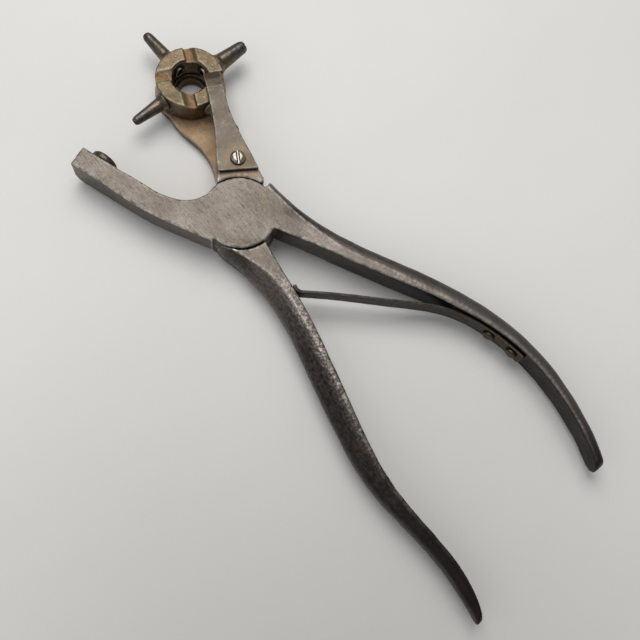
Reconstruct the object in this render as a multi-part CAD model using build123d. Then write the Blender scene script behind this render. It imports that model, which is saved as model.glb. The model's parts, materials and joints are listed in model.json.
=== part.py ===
from build123d import *
import os
from math import cos, radians, sin

# Rotary hole punch for leather, millimetres.
# Origin: the pivot axis where it meets the plane that the tool rests on.
# +X runs from the handles towards the jaws, +Z up through the lap joint.

# ---------------------------------------------------------------- driving sizes
# lap joint
DISC_R = 13.1
DISC_GAP = 0.12            # radial room around a disc for the other lever
LAP_BOTTOM = 6.85          # top of the lower disc
LAP_TOP = 6.90             # underside of the upper disc
JOINT_TOP = 13.8
RIVET_R = 4.0
RIVET_HEAD_R = 5.6
RIVET_HEAD_DEPTH = 1.6
RIVET_CLEARANCE = 0.05
ABOVE_ALL = 20.0           # height that clears every part, for cuts from above

# turret
RING_AXIS = (51.5, -20.1)
RING_R = 12.3
RING_BORE_R = 6.4
RING_BOTTOM = 3.85
RING_TOP = 13.6
RATCHET_DEPTH = 1.2
RATCHET_FLOOR = 1.3        # length of a notch's flat floor
RATCHET_RAMP = 3.2         # length of the ramp up from it
STEP_ANGLE = -117.0        # the step that the leaf rests behind, about the ring axis
RING_EDGE = 0.35           # broken edge of the ring
BORE_LIP = (0.45, 0.6)     # width and depth of the step around the bore's mouth
MARK_AT = (9.6, -8.0)      # stamped circle: distance from the ring axis, turn from the tube
MARK_R = (0.8, 0.4)        # its outer and inner radius
MARK_DEPTH = 0.2
STATIONS = 4
TUBE_AXIS_Z = 9.0
TUBE_REACH = 25.6          # cutting edge, from the ring axis
TUBE_START = 5.5           # inner end, just inside the ring's bore
TUBE_WALL = 0.55           # at the cutting edge
TUBE_FOOT = 1.5            # length of the flare that seats against the ring
# radius at the cutting edge, at the root and at the flared foot, for the tube at each station
TUBE_SIZES = [(1.8, 2.5, 3.3), (1.6, 2.5, 3.4), (2.0, 2.8, 3.6), (2.3, 3.2, 3.95)]
HUB_HOLE_R = 4.9
HUB_SHANK_R = 5.8
HUB_TOP = 5.4
HUB_CLEARANCE = 0.05
HUB_RECESS = 0.2           # the hub's lower end stays above the plate's underside
HUB_FUNNEL = (0.9, 1.4)    # widening and depth of the hub's mouth

# levers
PLATE_TOP = 3.8            # bottom plate under the ring
PLATE_R = 13.2
BLOCK_TOP = 14.0           # raised block that carries the leaf
BLOCK_FRONT_R = 27.0       # its hollow front, about the ring axis
JAW_BOTTOM = 4.2           # underside of the jaw beside the lap joint
JAW_TIP_BOTTOM = 0.8       # underside of the jaw at its tip
JAW_TIP_ROUND = 4.2
JAW_TIP_OUTER = (50.2, 33.2)
JAW_TIP_INNER = (52.75, 25.9)
JAW_FACE_END = (37.5, 21.45)
PAD_FROM_TIP = 7.55        # middle of the pad, along the jaw's inner face
PAD_R = 4.8
PAD_PROUD = 2.2
PAD_EDGE = 1.2
PAD_SHANK_R = 2.4
PAD_SHANK = 4.0
HANDLE_TOP = 12.7          # of the lower handle

# leaf and its screw
LEAF_THICK = 1.7
LEAF_TOP = BLOCK_TOP + LEAF_THICK
LEAF_TIP_GAP = 0.15        # between the leaf's tip and the notch's floor
LEAF_AWAY = 0.2            # between the leaf's tip and the step
SCREW_AT = (15.2, -12.0)
SCREW_R = 1.6
SCREW_END = 4.0            # lower end of the shank
SCREW_HEAD_R = 2.8
SCREW_HEAD_HIGH = 1.7
SCREW_DOME = 1.6           # rounding of the head's top
SLOT_WIDE = 1.0
SLOT_DEEP = 0.85
SLOT_TURN = -33.0

# return spring and its rivets
SPRING_THICK = 1.2
CHANNEL_DEPTH = 1.4
CHANNEL_X = (-104.0, -65.0)
CHANNEL_Z = (3.7, 11.6)
SPRING_RIVETS_AT = (0.05, 0.17)    # as shares of the spring's length
SPRING_RIVET_Z = 7.65
SPRING_RIVET_R = 1.2
SPRING_RIVET_LENGTH = 4.8
SPRING_RIVET_HEAD = (2.3, 1.1)     # radius and height
# lower and upper edge of the strip along its length: (x, low, high)
SPRING_EDGES = [(-110, 4.2, 11.2), (-75, 4.3, 11.0), (-28, 6.5, 11.7)]


# ---------------------------------------------------------------- helpers
def disc(radius, low, high, center=(0, 0)):
    """Upright cylinder between two heights."""
    return Pos(center[0], center[1], (low + high) / 2) * Cylinder(radius, high - low)


def prism(face, low, high):
    """Straight-sided solid over a flat outline, between two heights."""
    return Pos(0, 0, low) * extrude(face, high - low)


def polar(radius, angle, center=(0, 0)):
    return (center[0] + radius * cos(radians(angle)), center[1] + radius * sin(radians(angle)))


def grip_section(station):
    """One section of a handle: flat inner face, narrow flat top, rounded outer side."""
    inner, outer, low, high, flat, fall = station
    across = Vector(outer[0] - inner[0], outer[1] - inner[1])
    half = (high - low) / 2
    frame = Plane(
        origin=(inner[0], inner[1], (low + high) / 2),
        x_dir=across.normalized(),
        z_dir=across.normalized().cross(Vector(0, 0, 1)),
    )
    thick = across.length
    top_start = (flat, half)
    top_end = (flat, -half)
    outline = [
        Line((0, -half), (0, half)),
        Line((0, half), top_start),
        Spline(top_start, (thick, 0), top_end, tangents=[polar(1, -fall), polar(1, 180 + fall)]),
        Line(top_end, (0, -half)),
    ]
    return frame * make_face(outline)


def handle(stations, low, high, end):
    """Handle through its sections, with its free end a rounded tongue as seen from the side."""
    end_x, round_x, end_low, end_high = end
    past_joint = 20
    width = 140
    tongue = ThreePointArc((round_x, end_high), (end_x, (end_low + end_high) / 2), (round_x, end_low))
    side = make_face([
        Line((round_x, end_low), (round_x, low)),
        Line((round_x, low), (past_joint, low)),
        Line((past_joint, low), (past_joint, high)),
        Line((past_joint, high), (round_x, high)),
        Line((round_x, high), (round_x, end_high)),
        tongue,
    ])
    bar = loft([grip_section(station) for station in stations])
    return bar & extrude(Plane.XZ * side, width / 2, both=True)


# ---------------------------------------------------------------- handle stations
# each: inner edge, outer side, bottom, top, width of the flat along the top edge,
# and the angle at which the outer side falls away from that flat
ANVIL_GRIP = [
    ((-3.0, -1.5), (2.7, -16.4), 3.8, 14.1, 12.6, 14),
    ((-14.0, -6.3), (-9.3, -17.3), 3.4, 14.1, 8.2, 12),
    ((-24.0, -11.4), (-20.3, -19.8), 2.8, 14.0, 4.6, 10),
    ((-40.6, -19.3), (-37.4, -26.4), 2.2, 13.6, 3.0, 10),
    ((-58.0, -27.9), (-55.0, -34.9), 1.9, 13.5, 2.2, 10),
    ((-75.5, -35.6), (-73.2, -42.1), 1.8, 13.5, 1.6, 10),
    ((-90.4, -40.2), (-89.2, -46.0), 1.8, 13.4, 1.3, 10),
    ((-105.8, -41.7), (-105.8, -47.0), 2.0, 13.3, 1.2, 10),
    ((-121.0, -40.2), (-121.8, -44.8), 2.2, 13.1, 1.1, 10),
    ((-134.0, -36.9), (-135.5, -41.0), 2.6, 12.8, 1.0, 10),
    ((-146.6, -31.0), (-148.0, -33.6), 3.2, 12.3, 0.8, 10),
]
# rounded free end: its tip, where the rounding starts, and bottom and top there
ANVIL_GRIP_END = (-145.4, -141.0, 2.7, 12.8)

TURRET_GRIP = [
    ((-6.6, -1.5), (-3.7, 14.2), -0.2, 12.7, 12.8, 36),
    ((-15.5, 0.2), (-14.0, 13.1), -0.2, 12.7, 8.6, 30),
    ((-22.0, 1.5), (-21.1, 11.9), -0.2, 12.6, 5.4, 20),
    ((-30.0, 2.9), (-28.8, 11.8), -0.2, 12.5, 3.4, 14),
    ((-45.0, 6.2), (-43.2, 14.4), -0.2, 12.4, 2.6, 12),
    ((-62.0, 11.3), (-59.4, 19.3), -0.2, 12.4, 1.7, 12),
    ((-80.0, 17.0), (-77.6, 24.5), -0.2, 12.4, 1.4, 12),
    ((-97.0, 21.7), (-95.6, 28.3), -0.2, 12.3, 1.3, 12),
    ((-113.0, 23.2), (-112.8, 28.5), 0.2, 12.1, 1.2, 12),
    ((-128.0, 23.2), (-128.2, 27.9), 0.5, 11.8, 1.1, 12),
    ((-141.0, 24.8), (-142.4, 29.3), 0.9, 11.5, 1.0, 12),
    ((-153.6, 29.8), (-154.8, 32.2), 1.5, 11.1, 0.8, 12),
]
TURRET_GRIP_END = (-152.8, -148.4, 1.0, 11.5)


# ---------------------------------------------------------------- return spring path
SPRING_ROOT = (-101.5, -41.0)
SPRING_HOOK = (-34.8, 2.1)


def spring_line():
    """Middle of the strip as seen from above, from its root to the hooked end."""
    leg = Spline(SPRING_ROOT, (-87.5, -39.1), (-74.0, -34.0), (-58.0, -20.6), (-41.0, -4.4), SPRING_HOOK)
    hook = ThreePointArc(SPRING_HOOK, (-33.1, 2.7), (-31.4, 2.2))
    return leg, hook


def strip(lines, thickness, low, high):
    """Upright strip of even thickness along lines seen from above."""
    return prism(trace(lines, line_width=thickness), low, high)


# ---------------------------------------------------------------- levers
def jaw_outline():
    """Anvil jaw seen from above, from its tip back into the lap joint."""
    heel = (-2.0, 14.15)
    outer = Spline(JAW_TIP_OUTER, (33.0, 28.2), (19.0, 24.0), (8.2, 19.2), heel)
    throat = Spline(JAW_FACE_END, (27.0, 18.0), (18.1, 14.0), (13.6, 8.8), (12.5, 4.5))
    return make_face([
        Line(JAW_TIP_OUTER, JAW_TIP_INNER),
        Line(JAW_TIP_INNER, JAW_FACE_END),
        throat,
        Line((12.5, 4.5), (0, 0)),
        Line((0, 0), heel),
        outer,
    ])


def under_jaw():
    """Wedge of room under the jaw, which gets deeper towards its tip."""
    root_x, tip_x = 14.0, 54.0
    side = Polyline(
        (-20, 0), (-20, JAW_BOTTOM), (root_x, JAW_BOTTOM), (tip_x, JAW_TIP_BOTTOM), (tip_x, 0), (-20, 0),
    )
    return extrude(Plane.XZ * make_face(side), 60, both=True)


def pad_plane():
    """Plane on the jaw's inner face, at the middle of the pad, facing the working tube."""
    tip = Vector(*JAW_TIP_INNER, TUBE_AXIS_Z)
    along = (Vector(*JAW_FACE_END, TUBE_AXIS_Z) - tip).normalized()
    facing = along.cross(Vector(0, 0, -1))
    return Plane(origin=tip + along * PAD_FROM_TIP, x_dir=along, z_dir=facing)


def anvil_pad():
    """Round striking pad with a shank that is driven into the jaw."""
    frame = pad_plane()
    face = Pos(0, 0, PAD_PROUD / 2) * Cylinder(PAD_R, PAD_PROUD)
    face = fillet(face.edges().group_by(Axis.Z)[-1], PAD_EDGE)
    shank = Pos(0, 0, -PAD_SHANK / 2) * Cylinder(PAD_SHANK_R, PAD_SHANK)
    return frame * (face + shank)


def pivot_rivet():
    """Rivet of the lap joint, with countersunk heads flush with both discs."""
    profile = Polyline(
        (0, 0), (RIVET_HEAD_R, 0), (RIVET_R, RIVET_HEAD_DEPTH),
        (RIVET_R, JOINT_TOP - RIVET_HEAD_DEPTH), (RIVET_HEAD_R, JOINT_TOP), (0, JOINT_TOP), (0, 0),
    )
    return revolve(Plane.XZ * make_face(profile), Axis.Z)


def rivet_room():
    """Hole for the rivet in the upper disc, with running clearance."""
    wide = RIVET_CLEARANCE
    profile = Polyline(
        (0, 0), (RIVET_R + wide, 0), (RIVET_R + wide, JOINT_TOP - RIVET_HEAD_DEPTH - wide),
        (RIVET_HEAD_R + wide, JOINT_TOP), (RIVET_HEAD_R + wide, JOINT_TOP + 1), (0, JOINT_TOP + 1), (0, 0),
    )
    return revolve(Plane.XZ * make_face(profile), Axis.Z)


def spring_channel():
    """Channel in the inner side of the anvil lever's handle, where the spring's root lies."""
    leg, _ = spring_line()
    start_x, end_x = CHANNEL_X
    reach = Pos((start_x + end_x) / 2, SPRING_ROOT[1], 0) * Box(end_x - start_x, 40, 40)
    return strip([leg], 2 * CHANNEL_DEPTH, *CHANNEL_Z) & reach


def anvil_lever():
    """Jaw, upper disc and one handle; the disc turns in the room that the lower one leaves."""
    jaw = prism(jaw_outline(), JAW_TIP_BOTTOM, JOINT_TOP) - under_jaw()
    tip_bottom = jaw.edges().filter_by(GeomType.LINE).group_by(Axis.Z)[0].sort_by(Axis.X)[-1:]
    jaw = fillet(tip_bottom, JAW_TIP_ROUND)
    grip = handle(ANVIL_GRIP, 1.0, JOINT_TOP, ANVIL_GRIP_END)
    lower_disc_room = disc(DISC_R + DISC_GAP, -1, LAP_TOP)
    body = jaw - lower_disc_room + disc(DISC_R, LAP_TOP, JOINT_TOP)
    body += grip - lower_disc_room
    body -= spring_channel()
    for rivet in spring_rivets():
        body -= rivet
    body -= anvil_pad()
    return body - rivet_room()


def neck_outline():
    """Bottom plate seen from above: the seat of the ring and the neck back to the joint."""
    ring_left = polar(PLATE_R, 104, RING_AXIS)
    ring_right = polar(PLATE_R, -118, RING_AXIS)
    left_corner = (13.6, -0.9)
    right_corner = (3.9, -14.6)
    left = Spline(ring_left, (38.0, -7.0), (29.5, -7.8), (22.0, -6.0), left_corner)
    right = Spline(right_corner, (10.0, -16.0), (22.0, -18.5), (34.0, -23.4), ring_right)
    seat = ThreePointArc(ring_right, polar(PLATE_R, -7, RING_AXIS), ring_left)
    return make_face([left, Line(left_corner, (0, 0)), Line((0, 0), right_corner), right, seat])


def block_side_room():
    """Room beside the block, so that its upper part stays under the leaf and the plate shows."""
    side = Polyline((15.4, -2.9), (21.3, -7.7), (28.3, -13.0), (40, -20), (40, 0), (15.4, 0), (15.4, -2.9))
    return prism(make_face(side), PLATE_TOP, BLOCK_TOP + 1)


def turret_lever():
    """Bottom plate, leaf block, lower disc and the other handle."""
    block = prism(neck_outline(), 0, BLOCK_TOP) - block_side_room()
    block -= disc(BLOCK_FRONT_R, PLATE_TOP, BLOCK_TOP + 1, RING_AXIS)
    grip = handle(TURRET_GRIP, 0, HANDLE_TOP, TURRET_GRIP_END)
    upper_disc_room = disc(DISC_R + DISC_GAP, LAP_BOTTOM, BLOCK_TOP + 1)
    body = block - upper_disc_room + disc(DISC_R, 0, LAP_BOTTOM)
    body += grip - upper_disc_room
    body -= pivot_rivet()
    body -= turret_hub()
    body -= disc(HUB_HOLE_R, -1, PLATE_TOP + 1, RING_AXIS)
    return body - leaf_screw()


# ---------------------------------------------------------------- turret
def turret_hub():
    """Hollow collar that the ring turns on; punched waste drops through it."""
    collar_r = RING_BORE_R - HUB_CLEARANCE
    broken = 0.3
    widening, funnel_depth = HUB_FUNNEL
    profile = Polyline(
        (HUB_HOLE_R, HUB_RECESS), (HUB_SHANK_R, HUB_RECESS), (HUB_SHANK_R, PLATE_TOP), (collar_r, PLATE_TOP),
        (collar_r, HUB_TOP - broken), (collar_r - broken, HUB_TOP), (HUB_HOLE_R + widening, HUB_TOP),
        (HUB_HOLE_R, HUB_TOP - funnel_depth), (HUB_HOLE_R, HUB_RECESS),
    )
    return Pos(*RING_AXIS, 0) * revolve(Plane.XZ * make_face(profile), Axis.Z)


def tube_profile(tip_r, root_r, foot_r):
    """Outer half profile of a tube along its axis: shank, flared foot, long taper."""
    shank_r = root_r - 0.3
    land = 0.1                                # width of the cutting edge
    bevel = 1.2                               # length of the sharpened end
    foot_start, foot_end = RING_R - 0.2, RING_R + 0.3
    return [
        (0, TUBE_START), (shank_r, TUBE_START), (shank_r, foot_start - 1), (foot_r, foot_start),
        (foot_r, foot_end), (root_r, foot_end + TUBE_FOOT), (tip_r + land, TUBE_REACH - bevel),
        (tip_r - TUBE_WALL + land, TUBE_REACH), (0, TUBE_REACH), (0, TUBE_START),
    ]


def at_station(solid, index):
    """Lay a solid made along +Y from the ring axis onto its station."""
    return Pos(RING_AXIS[0], RING_AXIS[1], TUBE_AXIS_Z) * Rot(0, 0, index * 360 / STATIONS - 90) * solid


def tube_blank(index):
    profile = make_face(Polyline(*tube_profile(*TUBE_SIZES[index])))
    return at_station(revolve(profile, Axis.Y), index)


def punch_tube(index):
    """One cutting tube, bored from end to end."""
    tip_r = TUBE_SIZES[index][0]
    middle = (TUBE_START + TUBE_REACH) / 2
    bore = Pos(0, middle, 0) * Rot(90, 0, 0) * Cylinder(tip_r - TUBE_WALL, TUBE_REACH)
    return tube_blank(index) - at_station(bore, index)


def ratchet_cut():
    """Notch behind one step: flat floor beside the step, then a short ramp up."""
    floor = RING_TOP - RATCHET_DEPTH
    ramp_end = -RATCHET_FLOOR - 2 * RATCHET_RAMP
    above = floor + 2 * RATCHET_DEPTH
    profile = Polyline((0, floor), (0, above), (ramp_end, above), (-RATCHET_FLOOR, floor), (0, floor))
    outward = Plane(origin=(0, 0, 0), x_dir=(0, 1, 0), z_dir=(1, 0, 0))
    return extrude(outward * make_face(profile), RING_R + 2)


def turret_ring():
    """Indexing ring with a ratchet step for each tube and a stamped circle beside it."""
    ring = disc(RING_R, RING_BOTTOM, RING_TOP, RING_AXIS)
    ring = chamfer(ring.edges(), RING_EDGE)
    ring -= disc(RING_BORE_R, 0, ABOVE_ALL, RING_AXIS)
    lip_wide, lip_deep = BORE_LIP
    ring -= disc(RING_BORE_R + lip_wide, RING_TOP - lip_deep, ABOVE_ALL, RING_AXIS)
    outer_r, inner_r = MARK_R
    mark_floor = RING_TOP - MARK_DEPTH
    for index in range(STATIONS):
        turn = index * 360 / STATIONS
        ring -= Pos(RING_AXIS[0], RING_AXIS[1], 0) * Rot(0, 0, STEP_ANGLE + turn) * ratchet_cut()
        ring -= tube_blank(index)
        mark = polar(MARK_AT[0], turn + MARK_AT[1], RING_AXIS)
        ring -= disc(outer_r, mark_floor, ABOVE_ALL, mark) - disc(inner_r, mark_floor, ABOVE_ALL, mark)
    return ring


# ---------------------------------------------------------------- leaf and screw
def leaf_outline():
    """Leaf seen from above: wide at the block, narrow where it rests behind the step."""
    shift = Vector(*polar(LEAF_AWAY, STEP_ANGLE + 270))
    tip_left = Vector(*polar(4.7, STEP_ANGLE, RING_AXIS)) + shift
    tip_right = Vector(*polar(11.3, STEP_ANGLE, RING_AXIS)) + shift
    root_left = (15.8, -3.5)
    root_right = (7.8, -15.3)
    left = Spline(root_left, (21.5, -7.3), (28.5, -12.5), (36.5, -17.4), tip_left)
    right = Spline(tip_right, (38.8, -25.6), (30.5, -21.6), (18.0, -17.9), root_right)
    return make_face([left, Line(tip_left, tip_right), right, Line(root_right, root_left)])


def retaining_leaf():
    """Flat spring plate whose last few millimetres bend down behind the ratchet step."""
    low = BLOCK_TOP
    tip = RING_TOP - RATCHET_DEPTH + LEAF_TIP_GAP
    side = Polyline(
        (-45, low), (-3.6, low), (-0.4, low - 0.3), (3.4, tip), (3.4, tip + LEAF_THICK - 0.2),
        (-0.2, LEAF_TOP - 0.5), (-3.6, LEAF_TOP), (-45, LEAF_TOP), (-45, low),
    )
    along = Vector(*polar(1, STEP_ANGLE + 90))
    start = Vector(RING_AXIS[0], RING_AXIS[1]) - along * 3.2
    across = along.cross(Vector(0, 0, 1))
    bent = Plane(origin=start - across * 30, x_dir=along, z_dir=across)
    sheet = extrude(bent * make_face(side), 60)
    return sheet & prism(leaf_outline(), PLATE_TOP, ABOVE_ALL) - disc(SCREW_R, PLATE_TOP, ABOVE_ALL, SCREW_AT)


def leaf_screw():
    """Slotted round-head screw through the leaf into the block."""
    head_top = LEAF_TOP + SCREW_HEAD_HIGH
    shank = disc(SCREW_R, SCREW_END, LEAF_TOP, SCREW_AT)
    head = disc(SCREW_HEAD_R, LEAF_TOP, head_top, SCREW_AT)
    head = fillet(head.edges().group_by(Axis.Z)[-1], SCREW_DOME)
    slot = Box(3 * SCREW_HEAD_R, SLOT_WIDE, 2 * SLOT_DEEP)
    slot = Pos(SCREW_AT[0], SCREW_AT[1], head_top) * Rot(0, 0, SLOT_TURN) * slot
    return shank + head - slot


# ---------------------------------------------------------------- spring and its rivets
def return_spring():
    """Flat strip, wide at the root and narrower at the hooked free end."""
    leg, hook = spring_line()
    blank = strip([leg, hook], SPRING_THICK, 0, ABOVE_ALL)
    lower = [(x, low) for x, low, high in SPRING_EDGES]
    upper = [(x, high) for x, low, high in reversed(SPRING_EDGES)]
    side = Polyline(*lower, *upper, lower[0])
    taper = extrude(Plane.XZ * make_face(side), 60, both=True)
    return blank & taper


def spring_rivets():
    """Two small rivets that hold the spring's root in its channel."""
    leg, _ = spring_line()
    head_r, head_high = SPRING_RIVET_HEAD
    rivets = []
    for share in SPRING_RIVETS_AT:
        at = leg @ share
        facing = (leg % share).cross(Vector(0, 0, 1)) * -1
        frame = Plane(origin=(at.X, at.Y, SPRING_RIVET_Z), z_dir=facing)
        pin = Pos(0, 0, -SPRING_RIVET_R) * Cylinder(SPRING_RIVET_R, SPRING_RIVET_LENGTH)
        head = Pos(0, 0, (SPRING_THICK + head_high) / 2) * Cylinder(head_r, head_high)
        head = fillet(head.edges().group_by(Axis.Z)[-1], 0.7)
        rivets.append(frame * (pin + head))
    return rivets


# ---------------------------------------------------------------- write the parts
def write(node, shape):
    export_step(shape, f"parts/{node}.step")


os.makedirs("parts", exist_ok=True)
write("anvil_lever", anvil_lever())
write("anvil_pad", anvil_pad())
write("turret_lever", turret_lever())
write("pivot_rivet", pivot_rivet())
write("turret_hub", turret_hub())
write("turret_ring", turret_ring())
for station in range(STATIONS):
    write(f"punch_tube_{station + 1}", punch_tube(station))
write("retaining_leaf", retaining_leaf())
write("leaf_screw", leaf_screw())
spring = return_spring()
for rivet in spring_rivets():
    spring -= rivet
write("return_spring", spring)
write("spring_rivets", Compound(children=spring_rivets()))
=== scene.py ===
import json
import math

import bmesh
import bpy
import numpy as np
from mathutils import Euler, Matrix, Vector


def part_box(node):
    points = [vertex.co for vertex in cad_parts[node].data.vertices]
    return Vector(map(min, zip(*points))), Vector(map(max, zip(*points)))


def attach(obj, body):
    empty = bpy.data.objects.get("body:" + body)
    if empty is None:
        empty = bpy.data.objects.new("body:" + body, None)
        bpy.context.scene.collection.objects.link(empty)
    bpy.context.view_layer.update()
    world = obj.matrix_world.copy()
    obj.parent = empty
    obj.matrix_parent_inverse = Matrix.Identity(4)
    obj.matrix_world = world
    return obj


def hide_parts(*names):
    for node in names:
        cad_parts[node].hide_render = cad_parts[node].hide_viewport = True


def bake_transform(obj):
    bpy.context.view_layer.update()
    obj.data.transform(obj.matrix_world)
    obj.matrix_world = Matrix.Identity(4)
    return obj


MM = 0.001

DENT_SIZE = 7 * MM          # breadth of the forged unevenness
GRAIN_SIZE = 1.3 * MM       # breadth of the finer unevenness
LEVER_DENTS = 0.05 * MM     # depths of the forged unevenness
SMALL_DENTS = 0.03 * MM
SPRING_DENTS = 0.02 * MM
GRAIN = 0.015 * MM          # depth of the finer unevenness

EDGE_PASSES = 7             # how far round a point its edge or hollow is judged
EDGE_SCALE = 0.36           # height above its surroundings, in voxels, of a full edge
MARK_PASSES = 3             # softening of the marks for rusty faces

LEVER_VOXEL = 0.36 * MM
RING_VOXEL = 0.22 * MM
SPRING_VOXEL = 0.2 * MM
LEVER_ROUNDING = 9          # smoothing passes
LEAF_ROUNDING = 7
SMALL_ROUNDING = 3

RUBBED = (0.30, 0.275, 0.25)     # bare steel in specks and scratches

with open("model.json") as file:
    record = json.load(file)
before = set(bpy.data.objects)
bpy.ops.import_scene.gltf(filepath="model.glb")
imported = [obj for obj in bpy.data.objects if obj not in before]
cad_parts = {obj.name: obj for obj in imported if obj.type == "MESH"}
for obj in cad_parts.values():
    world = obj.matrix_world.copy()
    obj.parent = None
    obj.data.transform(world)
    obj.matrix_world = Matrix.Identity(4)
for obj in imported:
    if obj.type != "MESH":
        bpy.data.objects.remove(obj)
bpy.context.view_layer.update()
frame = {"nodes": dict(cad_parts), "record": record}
record = frame["record"]
body_of_node = {n: body for body, nodes in record["behaviour"]["bodies"].items() for n in nodes}
slot_of_node = {part["node"]: part["material_slot"] for part in record["subparts"]}
joint_at = {joint["name"]: Vector(joint["pos_m"]) for joint in record["behaviour"]["joints"]}


# ------------------------------------------------------------------ mesh work
def points_of(mesh):
    co = np.empty(len(mesh.vertices) * 3, np.float32)
    mesh.vertices.foreach_get("co", co)
    return co.reshape(-1, 3).astype(float)


def normals_of(mesh):
    no = np.empty(len(mesh.vertices) * 3, np.float32)
    mesh.vertex_normals.foreach_get("vector", no)
    return no.reshape(-1, 3).astype(float)


def set_points(mesh, co):
    mesh.vertices.foreach_set("co", co.astype(np.float32).ravel())
    mesh.update()


def edges_of(mesh):
    pairs = np.empty(len(mesh.edges) * 2, np.int32)
    mesh.edges.foreach_get("vertices", pairs)
    return pairs.reshape(-1, 2)


def spread(values, pairs, passes):
    """Average a value per vertex with its neighbours, a few times over."""
    a, b = pairs[:, 0], pairs[:, 1]
    count = np.bincount(a, minlength=len(values)) + np.bincount(b, minlength=len(values))
    for _ in range(passes):
        total = np.zeros_like(values)
        for axis in range(values.shape[1]):
            total[:, axis] = np.bincount(a, values[b, axis], len(values))
            total[:, axis] += np.bincount(b, values[a, axis], len(values))
        values = 0.5 * values + 0.5 * total / np.maximum(count, 1)[:, None]
    return values


def ripple(co, size, seed):
    """Smooth seeded unevenness about 0, with features of about that size, as a sum of waves."""
    rng = np.random.default_rng(seed)
    total = np.zeros(len(co))
    waves = 14
    for _ in range(waves):
        direction = rng.normal(size=3)
        direction /= np.linalg.norm(direction)
        length = size * rng.uniform(0.7, 1.6)
        total += np.sin(co @ direction * (2 * math.pi / length) + rng.uniform(0, 6.28))
    return total / math.sqrt(waves)


def store(mesh, name, values):
    attribute = mesh.attributes.new(name, "FLOAT", "POINT")
    attribute.data.foreach_set("value", values.astype(np.float32))


def rivet_plug(mesh):
    """Close the top of the pivot hole, where the rivet is ground flush and shows no outline."""
    low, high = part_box("pivot_rivet")
    depth = 1.4 * MM
    overlap = 0.2 * MM
    radius = (high.x - low.x) / 2 + overlap
    work = bmesh.new()
    work.from_mesh(mesh)
    bmesh.ops.create_cone(
        work, cap_ends=True, segments=64, radius1=radius, radius2=radius, depth=depth,
        matrix=Matrix.Translation((0, 0, high.z - depth / 2)),
    )
    work.to_mesh(mesh)
    work.free()


def remeshed(source, voxel, add=None):
    """An even, dense mesh over the CAD shape."""
    scratch = bpy.data.objects.new("scratch", source.data.copy())
    if add:
        add(scratch.data)
    bpy.context.collection.objects.link(scratch)
    even = scratch.modifiers.new("even", "REMESH")
    even.mode = "VOXEL"
    even.voxel_size = voxel
    graph = bpy.context.evaluated_depsgraph_get()
    mesh = bpy.data.meshes.new_from_object(scratch.evaluated_get(graph))
    bpy.data.objects.remove(scratch)
    return mesh


def worn_edges(mesh, pairs, reach):
    """How much each point stands proud of its surroundings: edges above 0, hollows below."""
    co = points_of(mesh)
    return ((co - spread(co, pairs, reach)) * normals_of(mesh)).sum(1)


def refine(node, voxel, rounding, dents=0.0, grain=0.0, shape=None, add=None, seed=1):
    """Stand-in for a CAD node: rounded, slightly uneven, with its edges and hollows marked."""
    source = frame["nodes"][node]
    mesh = remeshed(source, voxel, add)
    pairs = edges_of(mesh)
    low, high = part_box(node)
    proud = worn_edges(mesh, pairs, EDGE_PASSES)
    co = points_of(mesh)
    if shape:
        co = shape(co)
    co = spread(co, pairs, rounding)
    normals = normals_of(mesh)
    broad = (ripple(co, DENT_SIZE, seed) - 0.5) * dents
    fine = (ripple(co, GRAIN_SIZE, seed + 7) - 0.6) * grain
    co += normals * (broad + fine)[:, None]
    co = np.clip(co, np.array(low), np.array(high))
    set_points(mesh, co)
    scale = voxel * EDGE_SCALE
    store(mesh, "edge", np.clip(proud / scale, 0, 1))
    store(mesh, "hollow", np.clip(-proud / scale, 0, 1))
    mesh.shade_smooth()
    piece = bpy.data.objects.new(node + "_worn", mesh)
    bpy.context.collection.objects.link(piece)
    mesh.materials.clear()
    mesh.materials.append(materials[slot_of_node[node]])
    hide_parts(node)
    return piece


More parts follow.
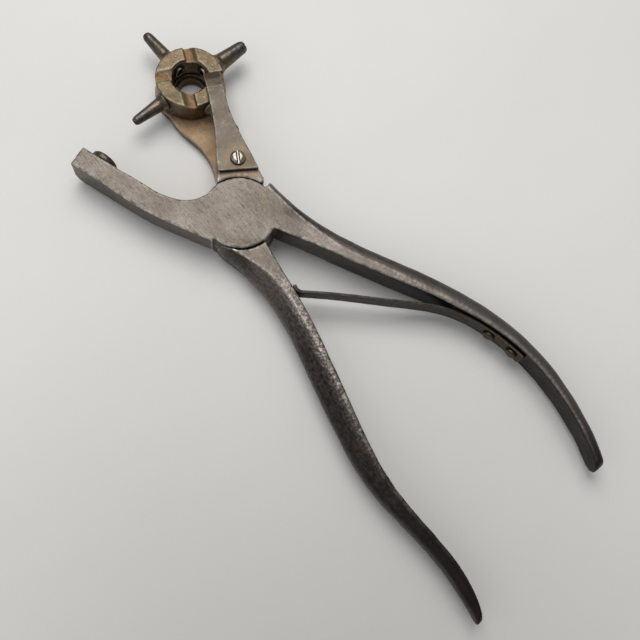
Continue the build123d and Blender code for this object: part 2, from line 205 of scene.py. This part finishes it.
# ------------------------------------------------------------------ materials
class Nodes:
    """A material's node tree with short calls for the nodes used here."""

    def __init__(self, name):
        self.material = bpy.data.materials.new(name)
        self.material.use_nodes = True
        self.tree = self.material.node_tree
        self.shader = self.tree.nodes["Principled BSDF"]
        self.place = self.tree.nodes.new("ShaderNodeTexCoord").outputs["Object"]

    def link(self, value, socket):
        if isinstance(value, bpy.types.NodeSocket):
            self.tree.links.new(value, socket)
        else:
            socket.default_value = value

    def attribute(self, name):
        node = self.tree.nodes.new("ShaderNodeAttribute")
        node.attribute_name = name
        return node.outputs["Fac"]

    def stretched(self, scale, turn=0.0):
        node = self.tree.nodes.new("ShaderNodeMapping")
        node.inputs["Rotation"].default_value = (0, 0, math.radians(turn))
        node.inputs["Scale"].default_value = scale
        self.link(self.place, node.inputs["Vector"])
        return node.outputs["Vector"]

    def noise(self, size, detail=4.0, rough=0.55, vector=None, warp=0.0):
        """Noise with features of about that size in millimetres."""
        node = self.tree.nodes.new("ShaderNodeTexNoise")
        node.inputs["Scale"].default_value = 1 / (size * MM)
        node.inputs["Detail"].default_value = detail
        node.inputs["Roughness"].default_value = rough
        node.inputs["Distortion"].default_value = warp
        self.link(vector or self.place, node.inputs["Vector"])
        return node.outputs["Fac"]

    def cells(self, size):
        """Distance to the nearest of scattered points, that far apart in millimetres."""
        node = self.tree.nodes.new("ShaderNodeTexVoronoi")
        node.inputs["Scale"].default_value = 1 / (size * MM)
        self.link(self.place, node.inputs["Vector"])
        return node.outputs["Distance"]

    def ramp(self, value, *stops):
        """Map a value to greys or colours, with stops of (place, grey or colour)."""
        node = self.tree.nodes.new("ShaderNodeValToRGB")
        elements = node.color_ramp.elements
        while len(elements) < len(stops):
            elements.new(0.5)
        for element, (at, tone) in zip(elements, stops):
            element.position = at
            element.color = (*tone, 1) if isinstance(tone, tuple) else (tone, tone, tone, 1)
        self.link(value, node.inputs["Fac"])
        return node.outputs["Color"]

    def math(self, kind, a, b):
        node = self.tree.nodes.new("ShaderNodeMath")
        node.operation = kind
        self.link(a, node.inputs[0])
        self.link(b, node.inputs[1])
        return node.outputs["Value"]

    def mix(self, share, a, b):
        """Colour a where the share is 0, colour b where it is 1."""
        node = self.tree.nodes.new("ShaderNodeMix")
        node.data_type = "RGBA"
        self.link(share, node.inputs[0])
        self.link((*a, 1) if isinstance(a, tuple) else a, node.inputs[6])
        self.link((*b, 1) if isinstance(b, tuple) else b, node.inputs[7])
        return node.outputs[2]

    def blended(self, *shares):
        """Weighted sum of several values."""
        total = 0.0
        for value, weight in shares:
            total = self.math("ADD", self.math("MULTIPLY", value, weight), total)
        return total

    def axis(self, name):
        node = self.tree.nodes.new("ShaderNodeSeparateXYZ")
        self.link(self.place, node.inputs[0])
        return node.outputs[name]

    def facing_up(self):
        """1 on faces that look straight up, 0 on upright ones, -1 underneath."""
        geometry = self.tree.nodes.new("ShaderNodeNewGeometry")
        node = self.tree.nodes.new("ShaderNodeSeparateXYZ")
        self.link(geometry.outputs["Normal"], node.inputs[0])
        return node.outputs["Z"]

    def near(self, center, inner, outer):
        """1 within the inner distance in millimetres of a point, falling to 0 at the outer one."""
        node = self.tree.nodes.new("ShaderNodeVectorMath")
        node.operation = "DISTANCE"
        self.link(self.place, node.inputs[0])
        node.inputs[1].default_value = center
        return self.span(node.outputs["Value"], outer * MM, inner * MM)

    def span(self, value, at_zero, at_one):
        """0 at the first of two values, 1 at the second, smooth between them."""
        node = self.tree.nodes.new("ShaderNodeMapRange")
        node.interpolation_type = "SMOOTHSTEP"
        node.inputs["From Min"].default_value = at_zero
        node.inputs["From Max"].default_value = at_one
        self.link(value, node.inputs["Value"])
        return node.outputs["Result"]

    def finish(self, color, roughness, heights, metallic=1.0):
        """Fill the shader; heights are (value, depth in millimetres) layers of bump."""
        self.link(color, self.shader.inputs["Base Color"])
        self.link(roughness, self.shader.inputs["Roughness"])
        self.link(metallic, self.shader.inputs["Metallic"])
        normal = None
        for value, depth in heights:
            bump = self.tree.nodes.new("ShaderNodeBump")
            bump.inputs["Strength"].default_value = 1.0
            bump.inputs["Distance"].default_value = depth * MM
            self.link(value, bump.inputs["Height"])
            if normal is not None:
                self.link(normal, bump.inputs["Normal"])
            normal = bump.outputs["Normal"]
        self.link(normal, self.shader.inputs["Normal"])
        return self.material


def scratches(nodes, length, width, turn, sparse):
    """Fine straight scratches along one direction: 1 in a scratch, 0 elsewhere."""
    vector = nodes.stretched((1, length / width, 1), turn)
    line = nodes.noise(length, 2.0, 0.5, vector)
    return nodes.ramp(line, (sparse, 0.0), (sparse + 0.05, 1.0))


def lever_steel():
    """Forged steel, brown near the jaws and nearly black on the grips.

    Top faces are rubbed paler near the jaws, the upward faces of the grip on the -Y side carry a
    painted sheen, and the bottom plate and the block's top are rusty where mark_plate says so.
    Painted shade darkens the -Y side behind the pivot and the shoulder's hollow, and a painted
    highlight brightens the worn edges.
    """
    n = Nodes("lever_steel")
    broad = n.noise(13, 3, 0.5)
    mottle = n.noise(2.4, 5, 0.6)
    grain = n.noise(0.35, 3, 0.6)
    tone = n.blended((broad, 0.45), (mottle, 0.15), (grain, 0.40))
    x, y = n.axis("X"), n.axis("Y")
    bare = n.ramp(
        tone,
        (0.38, (0.092, 0.080, 0.066)),
        (0.50, (0.117, 0.102, 0.088)),
        (0.62, (0.146, 0.130, 0.114)),
    )
    patina = n.ramp(
        tone,
        (0.36, (0.078, 0.065, 0.056)),
        (0.50, (0.103, 0.087, 0.075)),
        (0.64, (0.135, 0.116, 0.101)),
    )
    dark = n.ramp(
        tone,
        (0.36, (0.0175, 0.0140, 0.0128)),
        (0.50, (0.021, 0.0170, 0.0156)),
        (0.66, (0.027, 0.0222, 0.0204)),
    )
    up = n.facing_up()
    color = n.mix(n.span(x, 2 * MM, -62 * MM), patina, dark)

    # Tops: a painted sheen on the upward faces of the grip on the -Y side, then rubbed bare metal
    # near the jaws.
    lit_grip_top = n.math("MULTIPLY", n.span(y, -8 * MM, -15 * MM), n.span(x, -150 * MM, -120 * MM))
    lit_grip_top = n.math("MULTIPLY", lit_grip_top, n.span(up, 0.30, 0.95))
    # The satin colour here is a painted sheen on those upward faces.
    satin = n.mix(n.span(grain, 0.4, 0.6), (0.150, 0.132, 0.120), (0.195, 0.174, 0.159))
    color = n.mix(n.math("MULTIPLY", lit_grip_top, 0.7), color, satin)
    # The rubbed patch is real wear, cut back on the -Y side as painted shade where that top falls
    # away.
    reach = n.math("ADD", x, n.math("MULTIPLY", n.span(y, -4 * MM, -10 * MM), -14 * MM))
    rubbed = n.math("MULTIPLY", n.span(up, 0.80, 0.985), n.span(reach, -34 * MM, -10 * MM))
    color = n.mix(rubbed, color, bare)

    # Painted shade: behind the pivot on the -Y side, where the top falls away, and in the hollow of
    # the shoulder.
    away = n.blended((x, 0.428), (y, -0.904), (1.0, -0.07 * MM))
    outer = n.math("MULTIPLY", n.span(away, 2.5 * MM, 8.5 * MM), n.span(x, -3 * MM, -13 * MM))
    color = n.mix(n.math("MULTIPLY", outer, 0.85), color, (0.027, 0.021, 0.0175))
    scoop_shade = n.near((-12 * MM, 13 * MM, 7 * MM), 4, 10.5)
    scoop_shade = n.math("MULTIPLY", scoop_shade, n.span(up, 0.90, 0.70))
    color = n.mix(n.math("MULTIPLY", scoop_shade, 0.75), color, (0.020, 0.016, 0.0135))

    # Speckled wear along the top of the handle on the +Y side.
    ridge = n.math("MULTIPLY", n.span(x, -112 * MM, -55 * MM), n.span(x, -17 * MM, -32 * MM))
    level = n.math("MULTIPLY", n.span(up, 0.90, 0.995), n.span(y, -6 * MM, 0.0))
    ridge = n.math("MULTIPLY", ridge, level)
    fleck = n.ramp(n.noise(0.8, 4, 0.7), (0.50, 0.0), (0.58, 1.0))
    ridge = n.math("MULTIPLY", ridge, n.math("ADD", n.math("MULTIPLY", fleck, 0.8), 0.12))
    color = n.mix(n.math("MULTIPLY", ridge, 0.85), color, (0.24, 0.215, 0.195))

    rust = n.ramp(n.noise(7, 6, 0.7, warp=0.6), (0.54, 0.0), (0.68, 1.0))
    color = n.mix(n.math("MULTIPLY", rust, 0.35), color, (0.075, 0.042, 0.025))
    # Worn bare edges, brightened well past their wear as a painted highlight along them.
    broken = n.ramp(n.noise(1.6, 4, 0.6), (0.36, 0.15), (0.58, 1.0))
    edge = n.math("MULTIPLY", n.attribute("edge"), broken)
    edge = n.math("MULTIPLY", edge, n.span(x, -160 * MM, -10 * MM))
    color = n.mix(n.math("MULTIPLY", edge, 0.9), color, (0.62, 0.57, 0.51))
    color = n.mix(n.math("MULTIPLY", n.attribute("hollow"), 0.55), color, (0.030, 0.022, 0.016))

    plate = n.attribute("plate")
    tan = n.ramp(
        tone,
        (0.38, (0.225, 0.132, 0.063)),
        (0.50, (0.34, 0.220, 0.115)),
        (0.62, (0.45, 0.315, 0.185)),
    )
    color = n.mix(n.math("MULTIPLY", plate, n.ramp(mottle, (0.30, 0.70), (0.5, 1.0))), color, tan)

    # Bright specks and scratches.
    bright = n.ramp(n.cells(0.85), (0.05, 1.0), (0.28, 0.0))
    clumps = n.ramp(n.noise(1.5, 4, 0.6), (0.48, 0.0), (0.58, 1.0))
    bright = n.math("MULTIPLY", bright, clumps)
    bright = n.math("MULTIPLY", bright, n.span(x, -95 * MM, -20 * MM))
    color = n.mix(n.math("MULTIPLY", bright, 0.5), color, RUBBED)
    lines = n.math("MAXIMUM", scratches(n, 6, 0.13, 35, 0.665), scratches(n, 4, 0.12, -62, 0.675))
    lines = n.math("MULTIPLY", lines, n.span(x, -55 * MM, -15 * MM))
    color = n.mix(n.math("MULTIPLY", lines, 0.45), color, RUBBED)

    rough = n.math("ADD", n.ramp(tone, (0.36, 0.45), (0.64, 0.38)), n.math("MULTIPLY", plate, 0.22))
    rough = n.math("SUBTRACT", rough, n.math("MULTIPLY", edge, 0.10))
    metallic = n.math("SUBTRACT", 1.0, n.math("MULTIPLY", plate, 0.65))
    return n.finish(color, rough, [(mottle, 0.02), (grain, 0.011), (lines, 0.02)], metallic)


def ring_metal():
    """Olive brown metal of the ring and hub, orange rust in the notches."""
    n = Nodes("ring_metal")
    mottle = n.noise(2.0, 5, 0.6)
    grain = n.noise(0.45, 4, 0.65)
    tone = n.blended((n.noise(9, 3, 0.5), 0.3), (mottle, 0.35), (grain, 0.35))
    olive = n.ramp(
        tone,
        (0.38, (0.078, 0.060, 0.036)),
        (0.50, (0.108, 0.086, 0.055)),
        (0.62, (0.145, 0.119, 0.080)),
    )
    umber = n.ramp(
        tone,
        (0.38, (0.070, 0.048, 0.028)),
        (0.50, (0.118, 0.085, 0.051)),
        (0.62, (0.18, 0.138, 0.088)),
    )
    color = n.mix(n.span(n.facing_up(), 0.15, 0.75), umber, olive)
    rust_here = n.math("MULTIPLY", n.attribute("notch"), n.ramp(mottle, (0.30, 0.55), (0.55, 1.0)))
    rust = n.ramp(
        tone,
        (0.38, (0.17, 0.088, 0.032)),
        (0.50, (0.30, 0.165, 0.066)),
        (0.62, (0.42, 0.26, 0.12)),
    )
    color = n.mix(rust_here, color, rust)
    stain = n.ramp(n.noise(4, 5, 0.7, warp=0.5), (0.50, 0.0), (0.66, 0.55))
    color = n.mix(stain, color, (0.13, 0.068, 0.030))
    edge = n.math("MULTIPLY", n.attribute("edge"), n.ramp(mottle, (0.34, 0.15), (0.56, 0.75)))
    color = n.mix(edge, color, (0.34, 0.30, 0.22))
    color = n.mix(n.math("MULTIPLY", n.attribute("hollow"), 0.75), color, (0.040, 0.022, 0.011))
    rough = n.ramp(tone, (0.40, 0.50), (0.60, 0.36))
    rough = n.math("ADD", rough, n.math("MULTIPLY", rust_here, 0.25))
    metallic = n.math("SUBTRACT", 0.95, n.math("MULTIPLY", rust_here, 0.7))
    return n.finish(color, rough, [(mottle, 0.035), (grain, 0.012)], metallic)


def tube_steel():
    """Dark gunmetal, brown towards the foot of each tube."""
    n = Nodes("tube_steel")
    mottle = n.noise(1.8, 5, 0.6)
    grain = n.noise(0.4, 4, 0.65)
    tone = n.blended((mottle, 0.5), (grain, 0.5))
    turret = joint_at["turret_index"]
    foot = n.near((turret.x, turret.y, turret.z), 13.5, 22)
    gun = n.ramp(
        tone,
        (0.38, (0.045, 0.042, 0.038)),
        (0.50, (0.075, 0.070, 0.063)),
        (0.62, (0.115, 0.108, 0.098)),
    )
    brown = n.ramp(
        tone,
        (0.38, (0.080, 0.058, 0.037)),
        (0.50, (0.125, 0.094, 0.062)),
        (0.62, (0.175, 0.138, 0.096)),
    )
    color = n.mix(foot, gun, brown)
    color = n.mix(n.math("MULTIPLY", n.attribute("edge"), 0.5), color, (0.32, 0.29, 0.25))
    color = n.mix(n.math("MULTIPLY", n.attribute("hollow"), 0.9), color, (0.012, 0.009, 0.007))
    rough = n.ramp(tone, (0.40, 0.48), (0.60, 0.32))
    return n.finish(color, rough, [(mottle, 0.05), (grain, 0.02)])


def leaf_steel():
    """Grey brown satin, stained round the screw and at the tip."""
    n = Nodes("leaf_steel")
    mottle = n.noise(2.2, 5, 0.6)
    grain = n.noise(0.35, 3, 0.6)
    tone = n.blended((n.noise(10, 3, 0.5), 0.5), (mottle, 0.2), (grain, 0.3))
    base = n.ramp(
        tone,
        (0.38, (0.074, 0.062, 0.049)),
        (0.50, (0.089, 0.076, 0.061)),
        (0.62, (0.108, 0.093, 0.077)),
    )
    screw_low, screw_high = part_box("leaf_screw")
    middle = (screw_low + screw_high) / 2
    leaf_low, leaf_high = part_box("retaining_leaf")
    tip = (leaf_high.x, leaf_low.y, leaf_high.z)
    round_screw = n.near((middle.x, middle.y, leaf_high.z), 2.8, 8.0)
    stain = n.math("MAXIMUM", round_screw, n.near(tip, 4, 12))
    stain = n.math("MULTIPLY", stain, n.ramp(n.noise(2.2, 5, 0.7), (0.36, 0.25), (0.62, 0.75)))
    color = n.mix(stain, base, (0.110, 0.080, 0.045))
    edge = n.math("MULTIPLY", n.attribute("edge"), n.ramp(mottle, (0.34, 0.2), (0.56, 0.8)))
    color = n.mix(edge, color, (0.42, 0.38, 0.32))
    color = n.mix(n.math("MULTIPLY", n.attribute("hollow"), 0.5), color, (0.040, 0.030, 0.018))
    bright = n.ramp(n.cells(0.85), (0.05, 1.0), (0.28, 0.0))
    bright = n.math("MULTIPLY", bright, n.ramp(mottle, (0.46, 0.0), (0.60, 1.0)))
    color = n.mix(n.math("MULTIPLY", bright, 0.5), color, (0.30, 0.275, 0.24))
    rough = n.ramp(tone, (0.40, 0.45), (0.60, 0.38))
    return n.finish(color, rough, [(mottle, 0.03), (grain, 0.014)])


def screw_steel():
    """Bright worn nickel, darker in the slot."""
    n = Nodes("screw_steel")
    mottle = n.noise(1.2, 5, 0.6)
    color = n.ramp(
        mottle,
        (0.3, (0.20, 0.180, 0.145)),
        (0.6, (0.31, 0.285, 0.240)),
        (0.8, (0.40, 0.37, 0.32)),
    )
    color = n.mix(n.math("MULTIPLY", n.attribute("hollow"), 0.7), color, (0.06, 0.045, 0.028))
    color = n.mix(n.math("MULTIPLY", n.attribute("edge"), 0.4), color, (0.50, 0.47, 0.42))
    rough = n.ramp(mottle, (0.3, 0.32), (0.7, 0.20))
    return n.finish(color, rough, [(mottle, 0.03), (scratches(n, 3, 0.1, 20, 0.62), 0.01)])


def pad_metal():
    """Dark tarnished metal of the striking pad."""
    n = Nodes("pad_metal")
    mottle = n.noise(1.6, 5, 0.6)
    grain = n.noise(0.4, 4, 0.6)
    color = n.ramp(
        mottle,
        (0.3, (0.035, 0.028, 0.021)),
        (0.5, (0.070, 0.057, 0.043)),
        (0.75, (0.14, 0.118, 0.090)),
    )
    color = n.mix(n.math("MULTIPLY", n.attribute("edge"), 0.5), color, (0.20, 0.17, 0.13))
    color = n.mix(n.math("MULTIPLY", n.attribute("hollow"), 0.8), color, (0.014, 0.010, 0.007))
    rough = n.ramp(mottle, (0.3, 0.52), (0.7, 0.38))
    return n.finish(color, rough, [(mottle, 0.08), (grain, 0.04)])


def spring_steel():
    """Dark oiled steel, browner at the riveted root."""
    n = Nodes("spring_steel")
    streak = n.noise(3.0, 4, 0.6, n.stretched((0.25, 1, 1), -35))
    mottle = n.noise(1.4, 5, 0.6)
    color = n.ramp(
        streak,
        (0.3, (0.013, 0.011, 0.009)),
        (0.52, (0.022, 0.019, 0.016)),
        (0.75, (0.042, 0.037, 0.032)),
    )
    root = n.span(n.axis("X"), -66 * MM, -90 * MM)
    root = n.math("MULTIPLY", root, n.ramp(mottle, (0.3, 0.3), (0.6, 0.85)))
    color = n.mix(root, color, (0.065, 0.040, 0.023))
    color = n.mix(n.math("MULTIPLY", n.attribute("edge"), 0.45), color, (0.20, 0.185, 0.165))
    rough = n.ramp(mottle, (0.3, 0.48), (0.7, 0.32))
    return n.finish(color, rough, [(mottle, 0.04), (streak, 0.03)])


materials = {
    make.__name__: make()
    for make in (
        lever_steel,
        ring_metal,
        tube_steel,
        leaf_steel,
        screw_steel,
        pad_metal,
        spring_steel,
    )
}


# ------------------------------------------------------------------ pieces
def make_levers():
    """The two levers, each with its jaw and handle."""
    worn = {
        "voxel": LEVER_VOXEL,
        "rounding": LEVER_ROUNDING,
        "dents": LEVER_DENTS,
        "grain": GRAIN,
    }
    anvil = refine("anvil_lever", add=rivet_plug, seed=3, **worn)
    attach(anvil, body_of_node["anvil_lever"])
    turret = refine("turret_lever", shape=scoop_shoulder, seed=5, **worn)
    mark_plate(turret.data)
    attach(turret, body_of_node["turret_lever"])


def mark_plate(mesh):
    """Mark the rusty top of the bottom plate, and faintly that of the block under the leaf."""
    co, normals = points_of(mesh), normals_of(mesh)
    hub_above_plate = 1.6 * MM
    block_from, block_mark = 12.8 * MM, 0.32      # lowest height marked, and how strongly
    plate_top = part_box("turret_hub")[1].z - hub_above_plate
    level = np.clip(1.5 - np.abs(co[:, 2] - plate_top) / (0.5 * MM), 0, 1)
    beyond = np.clip((co[:, 0] - 14 * MM) / (3 * MM), 0, 1)
    here = level * beyond * np.clip(normals[:, 2] * 2, 0, 1)
    high = np.clip((co[:, 2] - block_from) / (0.6 * MM), 0, 1)
    ahead = np.clip((co[:, 0] - 4 * MM) / (2 * MM), 0, 1)
    here = np.maximum(here, block_mark * (high * ahead))
    store(mesh, "plate", spread(here[:, None], edges_of(mesh), MARK_PASSES)[:, 0])


def scoop_shoulder(co):
    """Hollow the outer side of the shoulder, between the lap joint and the grip."""
    middle = np.array((-11.0, 12.6, 7.5)) * MM
    along = np.array((-0.93, 0.12, 0)) / 0.94
    half_length, half_height, depth = 8.5 * MM, 5.6 * MM, 1.3 * MM
    off = co - middle
    run = off @ along / half_length
    rise = off[:, 2] / half_height
    side = np.clip((co[:, 1] - 6.5 * MM) / (4 * MM), 0, 1)
    deep = np.clip(1 - run * run, 0, 1) * np.clip(1 - rise * rise, 0, 1) * side
    return co + deep[:, None] * np.array((0.0, -depth, 0.0))


def sink_rivet(co):
    """Keep the rivet's upper head just under the skin of the disc."""
    sunk = 0.25 * MM
    co[:, 2] = np.minimum(co[:, 2], co[:, 2].max() - sunk)
    return co


def make_ring():
    """Indexing ring, with the rusty floors of its ratchet notches marked."""
    piece = refine(
        "turret_ring", RING_VOXEL, SMALL_ROUNDING, dents=SMALL_DENTS, grain=GRAIN, seed=11
    )
    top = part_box("turret_ring")[1].z
    below = (top - points_of(piece.data)[:, 2]) / MM
    level = np.clip((below - 0.5) / 0.5, 0, 1) * np.clip((2.2 - below) / 0.5, 0, 1)
    notch = level * np.clip(normals_of(piece.data)[:, 2] * 1.5, 0, 1)
    notch = spread(notch[:, None], edges_of(piece.data), MARK_PASSES)[:, 0]
    store(piece.data, "notch", notch)
    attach(piece, body_of_node["turret_ring"])


def make_small_parts():
    """Tubes, leaf, screw, pad, hub and rivets, each at its own voxel size in millimetres."""
    fine = {
        "punch_tube_1": 0.17,
        "punch_tube_2": 0.16,
        "punch_tube_3": 0.18,
        "punch_tube_4": 0.19,
        "retaining_leaf": 0.22,
        "leaf_screw": 0.13,
        "anvil_pad": 0.18,
        "pivot_rivet": 0.25,
        "turret_hub": 0.2,
        "spring_rivets": 0.15,
    }
    for seed, (node, voxel) in enumerate(fine.items(), start=20):
        shape = sink_rivet if node == "pivot_rivet" else None
        rounding = LEAF_ROUNDING if node == "retaining_leaf" else SMALL_ROUNDING
        piece = refine(
            node, voxel * MM, rounding, dents=SMALL_DENTS, grain=GRAIN, shape=shape, seed=seed
        )
        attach(piece, body_of_node[node])


def make_spring():
    """The return spring, between the lever that holds it and the one it pushes, left where it lies
    and attached to neither.
    """
    piece = refine(
        "return_spring", SPRING_VOXEL, SMALL_ROUNDING, dents=SPRING_DENTS, grain=GRAIN, seed=40
    )
    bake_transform(piece)


# ------------------------------------------------------------------ stage
def make_camera():
    """Camera high above the handles, off to the +Y side, looking down at the tool."""
    data = bpy.data.cameras.new("camera")
    data.lens = 45.8
    data.sensor_width = 36
    camera = bpy.data.objects.new("camera", data)
    camera.location = (-0.0844, 0.0746, 0.274)
    turns = (15.95, -5.93, -131.80)
    camera.rotation_euler = Euler([math.radians(turn) for turn in turns], "XYZ")
    bpy.context.collection.objects.link(camera)
    bpy.context.scene.camera = camera


def make_floor():
    """Pale cloth laid flat, faintly woven and uneven, with a painted shadow darkening it towards -X
    and +Y.
    """
    gap = 0.1 * MM      # keeps it clear of the tool's underside
    bpy.ops.mesh.primitive_plane_add(size=3, location=(0, 0, -gap))
    floor = bpy.context.object
    floor.name = "floor"
    n = Nodes("cloth")
    cloud = n.noise(120, 3, 0.5)
    color = n.ramp(cloud, (0.3, (0.730, 0.720, 0.698)), (0.7, (0.760, 0.750, 0.727)))
    # Painted shadow: the cloth gets darker towards -X and +Y.
    shade = n.near((-0.16, 0.10, 0.0), 10, 210)
    color = n.mix(n.math("MULTIPLY", shade, 0.55), color, (0.36, 0.348, 0.328))
    weave = n.noise(0.5, 2, 0.5)
    floor.data.materials.append(n.finish(color, 0.9, [(cloud, 3.0), (weave, 0.05)], 0.0))


def add_light(name, power, size, at, toward, color):
    """A rectangular area light."""
    data = bpy.data.lights.new(name, "AREA")
    data.shape = "RECTANGLE"
    data.size, data.size_y = size
    data.energy = power
    data.color = color
    light = bpy.data.objects.new(name, data)
    light.location = at
    light.rotation_euler = (Vector(toward) - Vector(at)).to_track_quat("-Z", "Y").to_euler()
    bpy.context.collection.objects.link(light)


def make_light():
    """Broad key light high beyond the jaws, a weak fill from the +Y side, and a pale surround."""
    bpy.context.scene.view_settings.view_transform = "Standard"
    world = bpy.data.worlds.new("world")
    bpy.context.scene.world = world
    world.use_nodes = True
    background = world.node_tree.nodes["Background"]
    background.inputs["Color"].default_value = (0.95, 0.97, 1.0, 1)
    background.inputs["Strength"].default_value = 0.34
    add_light(
        "key",
        power=4.7,
        size=(0.60, 0.60),
        at=(0.268, -0.166, 0.736),
        toward=(0.011, 0.012, 0.0),
        color=(1.0, 0.98, 0.95),
    )
    add_light(
        "fill",
        power=1.0,
        size=(0.8, 0.8),
        at=(0.10, 0.65, 0.50),
        toward=(-0.04, 0.0, 0.0),
        color=(0.98, 0.99, 1.0),
    )


make_levers()
make_ring()
make_small_parts()
make_spring()
make_camera()
make_floor()
make_light()
